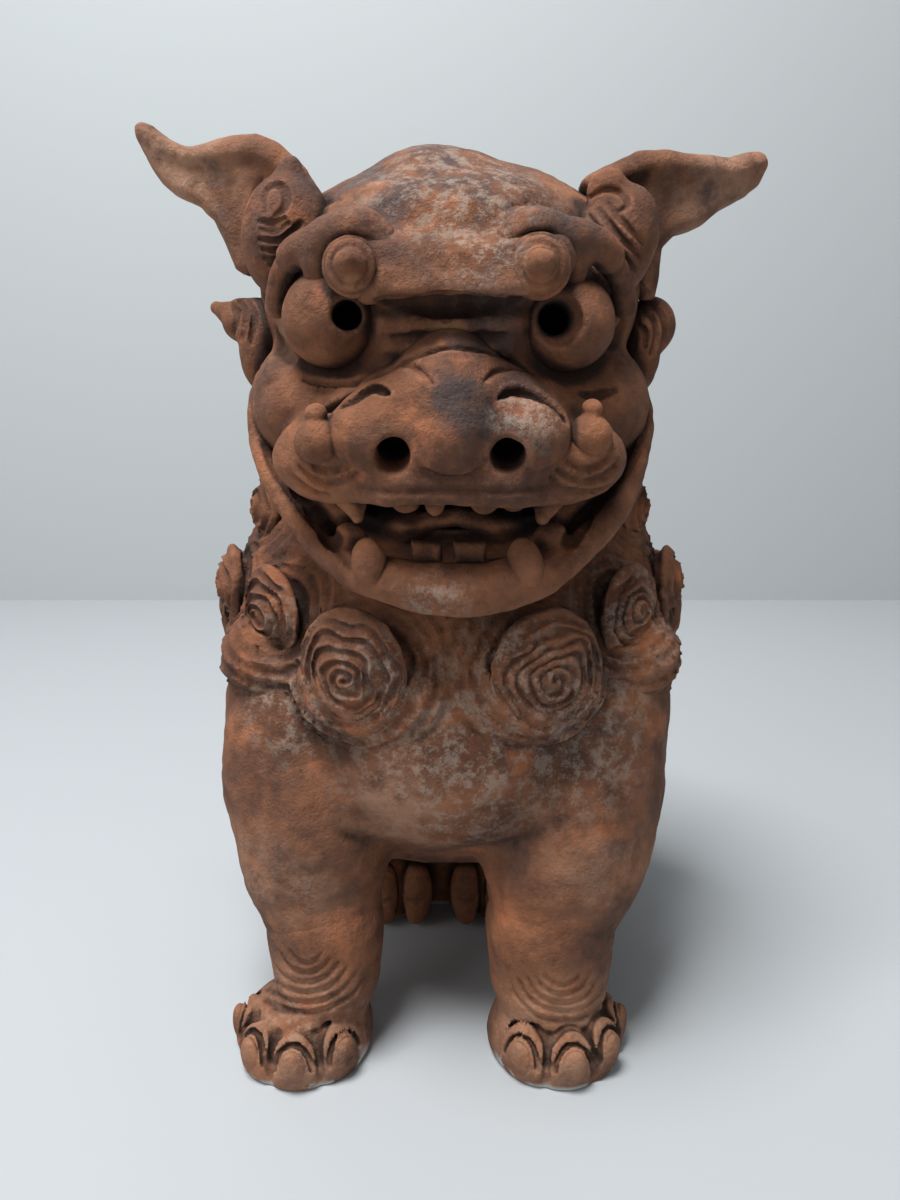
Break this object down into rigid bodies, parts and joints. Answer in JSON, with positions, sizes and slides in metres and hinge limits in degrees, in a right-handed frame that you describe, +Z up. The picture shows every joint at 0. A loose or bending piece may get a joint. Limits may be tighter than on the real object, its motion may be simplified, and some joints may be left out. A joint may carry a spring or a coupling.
{
  "type": "shisa lion statue",
  "caption": "Seated guardian lion of unglazed fired clay with an open mouth, bulging eyes, spread ears and a curled mane.",
  "frame": {"origin": "on the ground, under the middle of the lion's box", "axes": "+Z up, the lion faces -Y, its own left is at +X"},
  "size_m": [0.2028, 0.2098, 0.3095],
  "materials": {
    "fired_clay": "unglazed red clay, rough, with smoke marks and pale bloom",
    "smoked_clay": "unglazed clay darkened by smoke, rough"
  },
  "bodies": {
    "root": {"back_whorl": "fired_clay", "bib_whorl_left": "fired_clay", "bib_whorl_right": "fired_clay", "bridge_wrinkles": "fired_clay", "brow_knob_left": "fired_clay", "brow_knob_right": "fired_clay", "brow_left": "fired_clay", "brow_nub_left": "fired_clay", "brow_nub_right": "fired_clay", "brow_right": "fired_clay", "cheek_curl_left": "fired_clay", "cheek_curl_right": "fired_clay", "ear_left": "fired_clay", "ear_right": "fired_clay", "ear_tuft_left": "fired_clay", "ear_tuft_right": "fired_clay", "eyeball_left": "fired_clay", "eyeball_right": "fired_clay", "fore_claws_left": "fired_clay", "fore_claws_right": "fired_clay", "foreleg_left": "fired_clay", "foreleg_right": "fired_clay", "forepaw_left": "fired_clay", "forepaw_right": "fired_clay", "haunch_left": "fired_clay", "haunch_right": "fired_clay", "hind_claws_left": "fired_clay", "hind_claws_right": "fired_clay", "hind_toes_left": "fired_clay", "hind_toes_right": "fired_clay", "hindpaw_left": "fired_clay", "hindpaw_right": "fired_clay", "lower_fangs": "fired_clay", "lower_jaw": "fired_clay", "lower_lip": "fired_clay", "lower_teeth": "fired_clay", "mane_collar": "fired_clay", "muzzle": "fired_clay", "nape_whorl": "fired_clay", "neck_curl_left": "fired_clay", "neck_curl_right": "fired_clay", "nose": "fired_clay", "rear_whorl_left": "fired_clay", "rear_whorl_right": "fired_clay", "shoulder_whorl_left": "fired_clay", "shoulder_whorl_right": "fired_clay", "side_whorl_left": "fired_clay", "side_whorl_right": "fired_clay", "skull": "fired_clay", "tail": "fired_clay", "tail_curls": "fired_clay", "temple_curl_left": "fired_clay", "temple_curl_right": "fired_clay", "tongue": "smoked_clay", "torso": "fired_clay", "upper_fangs": "fired_clay", "upper_lip": "fired_clay", "upper_teeth": "fired_clay", "whisker_knob_left": "fired_clay", "whisker_knob_right": "fired_clay"}
  },
  "joints": []
}
